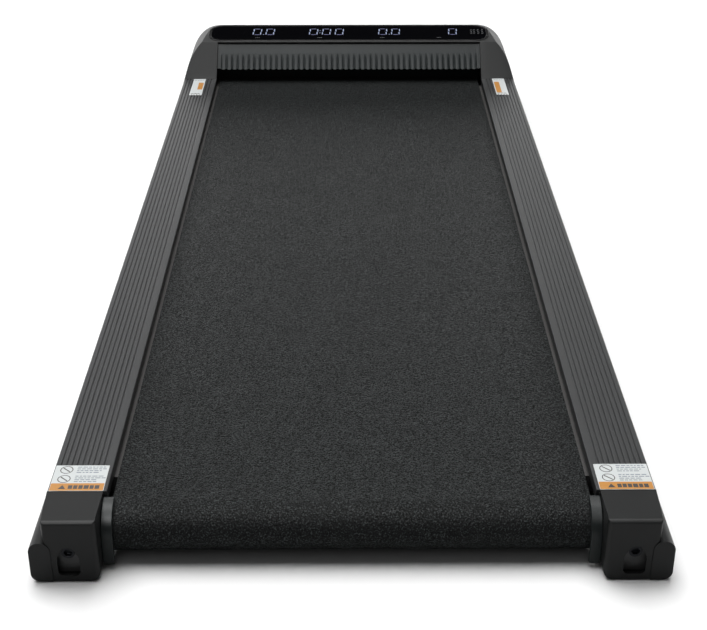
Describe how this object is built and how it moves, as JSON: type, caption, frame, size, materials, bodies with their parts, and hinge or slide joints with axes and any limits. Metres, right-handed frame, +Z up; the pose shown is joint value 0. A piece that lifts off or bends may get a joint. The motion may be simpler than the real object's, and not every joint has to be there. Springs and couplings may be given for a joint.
{
  "type": "treadmill",
  "caption": "Low motorised walking pad: grooved side rails, wide walking belt on two rollers over a deck, motor hood with slim display strip.",
  "frame": {"origin": "on the floor under the middle of the machine", "axes": "+Z up, +Y along the machine towards the motor hood, +X to the right when walking"},
  "size_m": [0.53, 1.3, 0.1135],
  "materials": {
    "belt_pvc": "matte textured",
    "rail_metal": "matt dark anodised, grooved",
    "black_abs": "fine moulded grain",
    "bezel_abs": "satin",
    "lens_acrylic": "polished, smoked",
    "frame_steel": "powder coated",
    "deck_wood": "waxed fibreboard",
    "soft_rubber": "matte",
    "zinc_steel": "zinc plated",
    "dark_bolt": "black oxide",
    "roller_steel": "ground",
    "nylon": "moulded",
    "bearing_steel": "polished",
    "drive_rubber": "ribbed",
    "motor_paint": "semi-gloss",
    "bell_metal": "as cast",
    "rotor_steel": "laminated",
    "board_green": "solder mask",
    "sink_aluminium": "extruded",
    "capacitor_sleeve": "shrink sleeve",
    "digit_plastic": "translucent white",
    "pin_brass": "nickel flashed",
    "lead_pvc": "insulation",
    "label_film": "printed film",
    "switch_plastic": "moulded",
    "wheel_nylon": "moulded"
  },
  "bodies": {
    "frame": {"belly_pan": "black_abs", "board_standoffs": "zinc_steel", "breaker_body": "switch_plastic", "capacitors": "capacitor_sleeve", "controller_board": "board_green", "cover_screws": "zinc_steel", "cross_members": "frame_steel", "deck_board": "deck_wood", "deck_cushions": "soft_rubber", "deck_screws": "zinc_steel", "digit_modules": "digit_plastic", "display_bezel": "bezel_abs", "display_board": "board_green", "display_lens": "lens_acrylic", "drive_belt": "drive_rubber", "end_cap_left": "black_abs", "end_cap_right": "black_abs", "frame_tube_left": "frame_steel", "frame_tube_right": "frame_steel", "front_axle": "zinc_steel", "front_axle_bolts": "zinc_steel", "front_labels": "label_film", "heat_sink": "sink_aluminium", "hood_shell": "black_abs", "inlet_pins": "pin_brass", "motor_can": "motor_paint", "motor_cradle": "frame_steel", "motor_end_bells": "bell_metal", "motor_plate": "frame_steel", "power_inlet": "switch_plastic", "rear_brackets": "frame_steel", "rear_labels": "label_film", "remote_receiver": "lens_acrylic", "ribbed_panel": "black_abs", "roller_guards": "black_abs", "rubber_feet": "soft_rubber", "running_belt": "belt_pvc", "side_rail_left": "rail_metal", "side_rail_right": "rail_metal", "switch_housing": "switch_plastic", "wheel_bolts": "zinc_steel", "wheel_forks": "frame_steel", "wiring_loom": "lead_pvc"},
    "front_roller": {"front_roller_tube": "roller_steel", "front_roller_plugs": "nylon", "front_roller_bearings": "bearing_steel", "roller_pulley": "nylon"},
    "rear_axle_body": {"rear_axle": "zinc_steel"},
    "rear_roller": {"rear_roller_tube": "roller_steel", "rear_roller_plugs": "nylon", "rear_roller_bearings": "bearing_steel"},
    "adjuster_left": {"adjust_bolt_left": "dark_bolt"},
    "adjuster_right": {"adjust_bolt_right": "dark_bolt"},
    "rotor": {"motor_armature": "rotor_steel", "motor_pulley": "zinc_steel", "cooling_fan": "nylon"},
    "wheel_body_left": {"wheel_left": "wheel_nylon"},
    "wheel_body_right": {"wheel_right": "wheel_nylon"},
    "rocker": {"power_switch": "switch_plastic"},
    "reset_button": {"breaker_button": "switch_plastic"}
  },
  "joints": [
    {"name": "front_roller_spin", "type": "hinge", "parent": "frame", "child": "front_roller", "pos_m": [0, 0.53, 0.028], "axis": [1, 0, 0], "continuous": true},
    {"name": "rear_axle_slide", "type": "slide", "parent": "frame", "child": "rear_axle_body", "axis": [0, 1, 0], "range_m": [0, 0.006]},
    {"name": "rear_roller_spin", "type": "hinge", "parent": "rear_axle_body", "child": "rear_roller", "pos_m": [0, -0.605, 0.028], "axis": [1, 0, 0], "continuous": true},
    {"name": "adjuster_left_turn", "type": "hinge", "parent": "frame", "child": "adjuster_left", "pos_m": [-0.233, -0.61, 0.028], "axis": [0, -1, 0], "range_deg": [0, 2161]},
    {"name": "adjuster_right_turn", "type": "hinge", "parent": "frame", "child": "adjuster_right", "pos_m": [0.233, -0.61, 0.028], "axis": [0, -1, 0], "range_deg": [0, 2161]},
    {"name": "motor_spin", "type": "hinge", "parent": "frame", "child": "rotor", "pos_m": [0, 0.6, 0.05], "axis": [1, 0, 0], "continuous": true},
    {"name": "wheel_left_spin", "type": "hinge", "parent": "frame", "child": "wheel_body_left", "pos_m": [-0.2385, 0.616, 0.021], "axis": [1, 0, 0], "continuous": true},
    {"name": "wheel_right_spin", "type": "hinge", "parent": "frame", "child": "wheel_body_right", "pos_m": [0.2385, 0.616, 0.021], "axis": [1, 0, 0], "continuous": true},
    {"name": "power_switch_rock", "type": "hinge", "parent": "frame", "child": "rocker", "pos_m": [0.1, 0.64, 0.046], "axis": [0, 0, 1], "range_deg": [0, 24]},
    {"name": "reset_button_push", "type": "slide", "parent": "frame", "child": "reset_button", "axis": [0, -1, 0], "range_m": [0, 0.002], "stiffness_N_per_m": 500}
  ],
  "couplings": [
    {"joint": "rear_roller_spin", "follows": "front_roller_spin", "ratio": 1},
    {"joint": "motor_spin", "follows": "front_roller_spin", "ratio": 2.4444},
    {"joint": "adjuster_left_turn", "follows": "rear_axle_slide", "rad_per_m": 6283.2},
    {"joint": "adjuster_right_turn", "follows": "rear_axle_slide", "rad_per_m": 6283.2}
  ]
}
